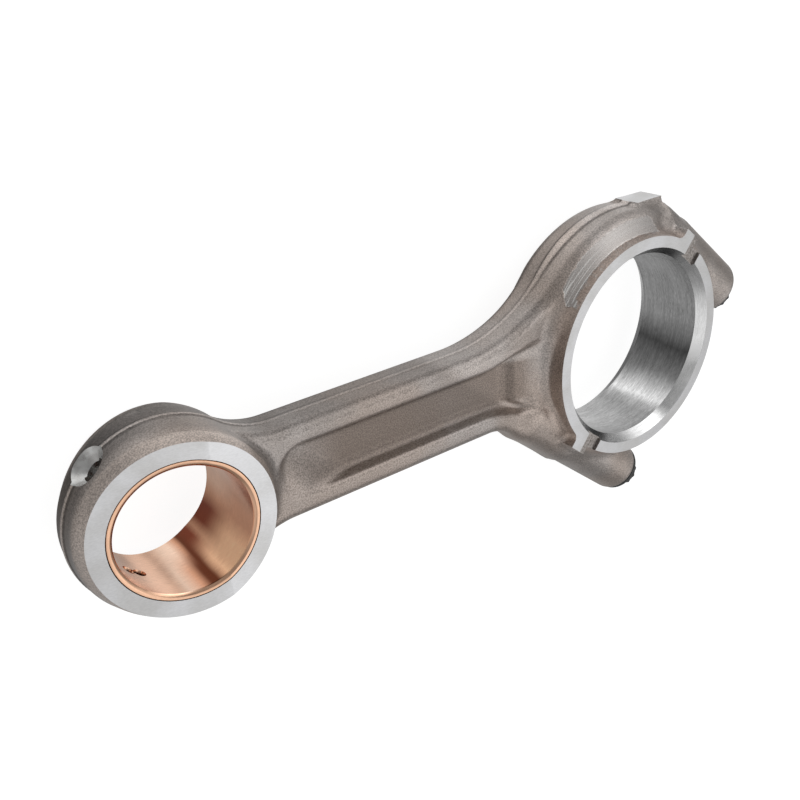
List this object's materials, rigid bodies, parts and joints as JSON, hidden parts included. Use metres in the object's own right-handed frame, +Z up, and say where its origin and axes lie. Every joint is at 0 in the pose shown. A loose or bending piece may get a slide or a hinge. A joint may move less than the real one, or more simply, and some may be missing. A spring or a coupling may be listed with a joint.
{
  "type": "connecting rod",
  "caption": "Forged steel connecting rod with an I-section shank, a bushed and tapered small end, and an obliquely split big end held by cap bolts; links piston pin to crankpin.",
  "frame": {"origin": "centre of the bounding box's underside, which is the plane of the big end's lower face; the rod lies on that face", "axes": "+X along the shank from small end to big end, +Z up along both bore axes, +Y across the shank towards the machined pad"},
  "size_m": [0.3949, 0.169, 0.0457],
  "materials": {
    "forged_steel": "shot-blasted forging with a warm grey skin; end faces, bores and pad machined bright",
    "bush_bronze": "finely bored copper-coloured bronze",
    "bolt_steel": "black oxide"
  },
  "bodies": {
    "rod": {"rod_body": "forged_steel", "small_end_bush": "bush_bronze"},
    "cap": {"big_end_cap": "forged_steel"},
    "upper_bolt": {"cap_bolt_upper": "bolt_steel"},
    "lower_bolt": {"cap_bolt_lower": "bolt_steel"}
  },
  "joints": [
    {"name": "cap_slide", "type": "slide", "parent": "rod", "child": "cap", "axis": [0.766, -0.6428, 0], "range_m": [0, 0.07]},
    {"name": "upper_bolt_slide", "type": "slide", "parent": "cap", "child": "upper_bolt", "axis": [0.766, -0.6428, 0], "range_m": [0, 0.088]},
    {"name": "lower_bolt_slide", "type": "slide", "parent": "cap", "child": "lower_bolt", "axis": [0.766, -0.6428, 0], "range_m": [0, 0.088]}
  ]
}
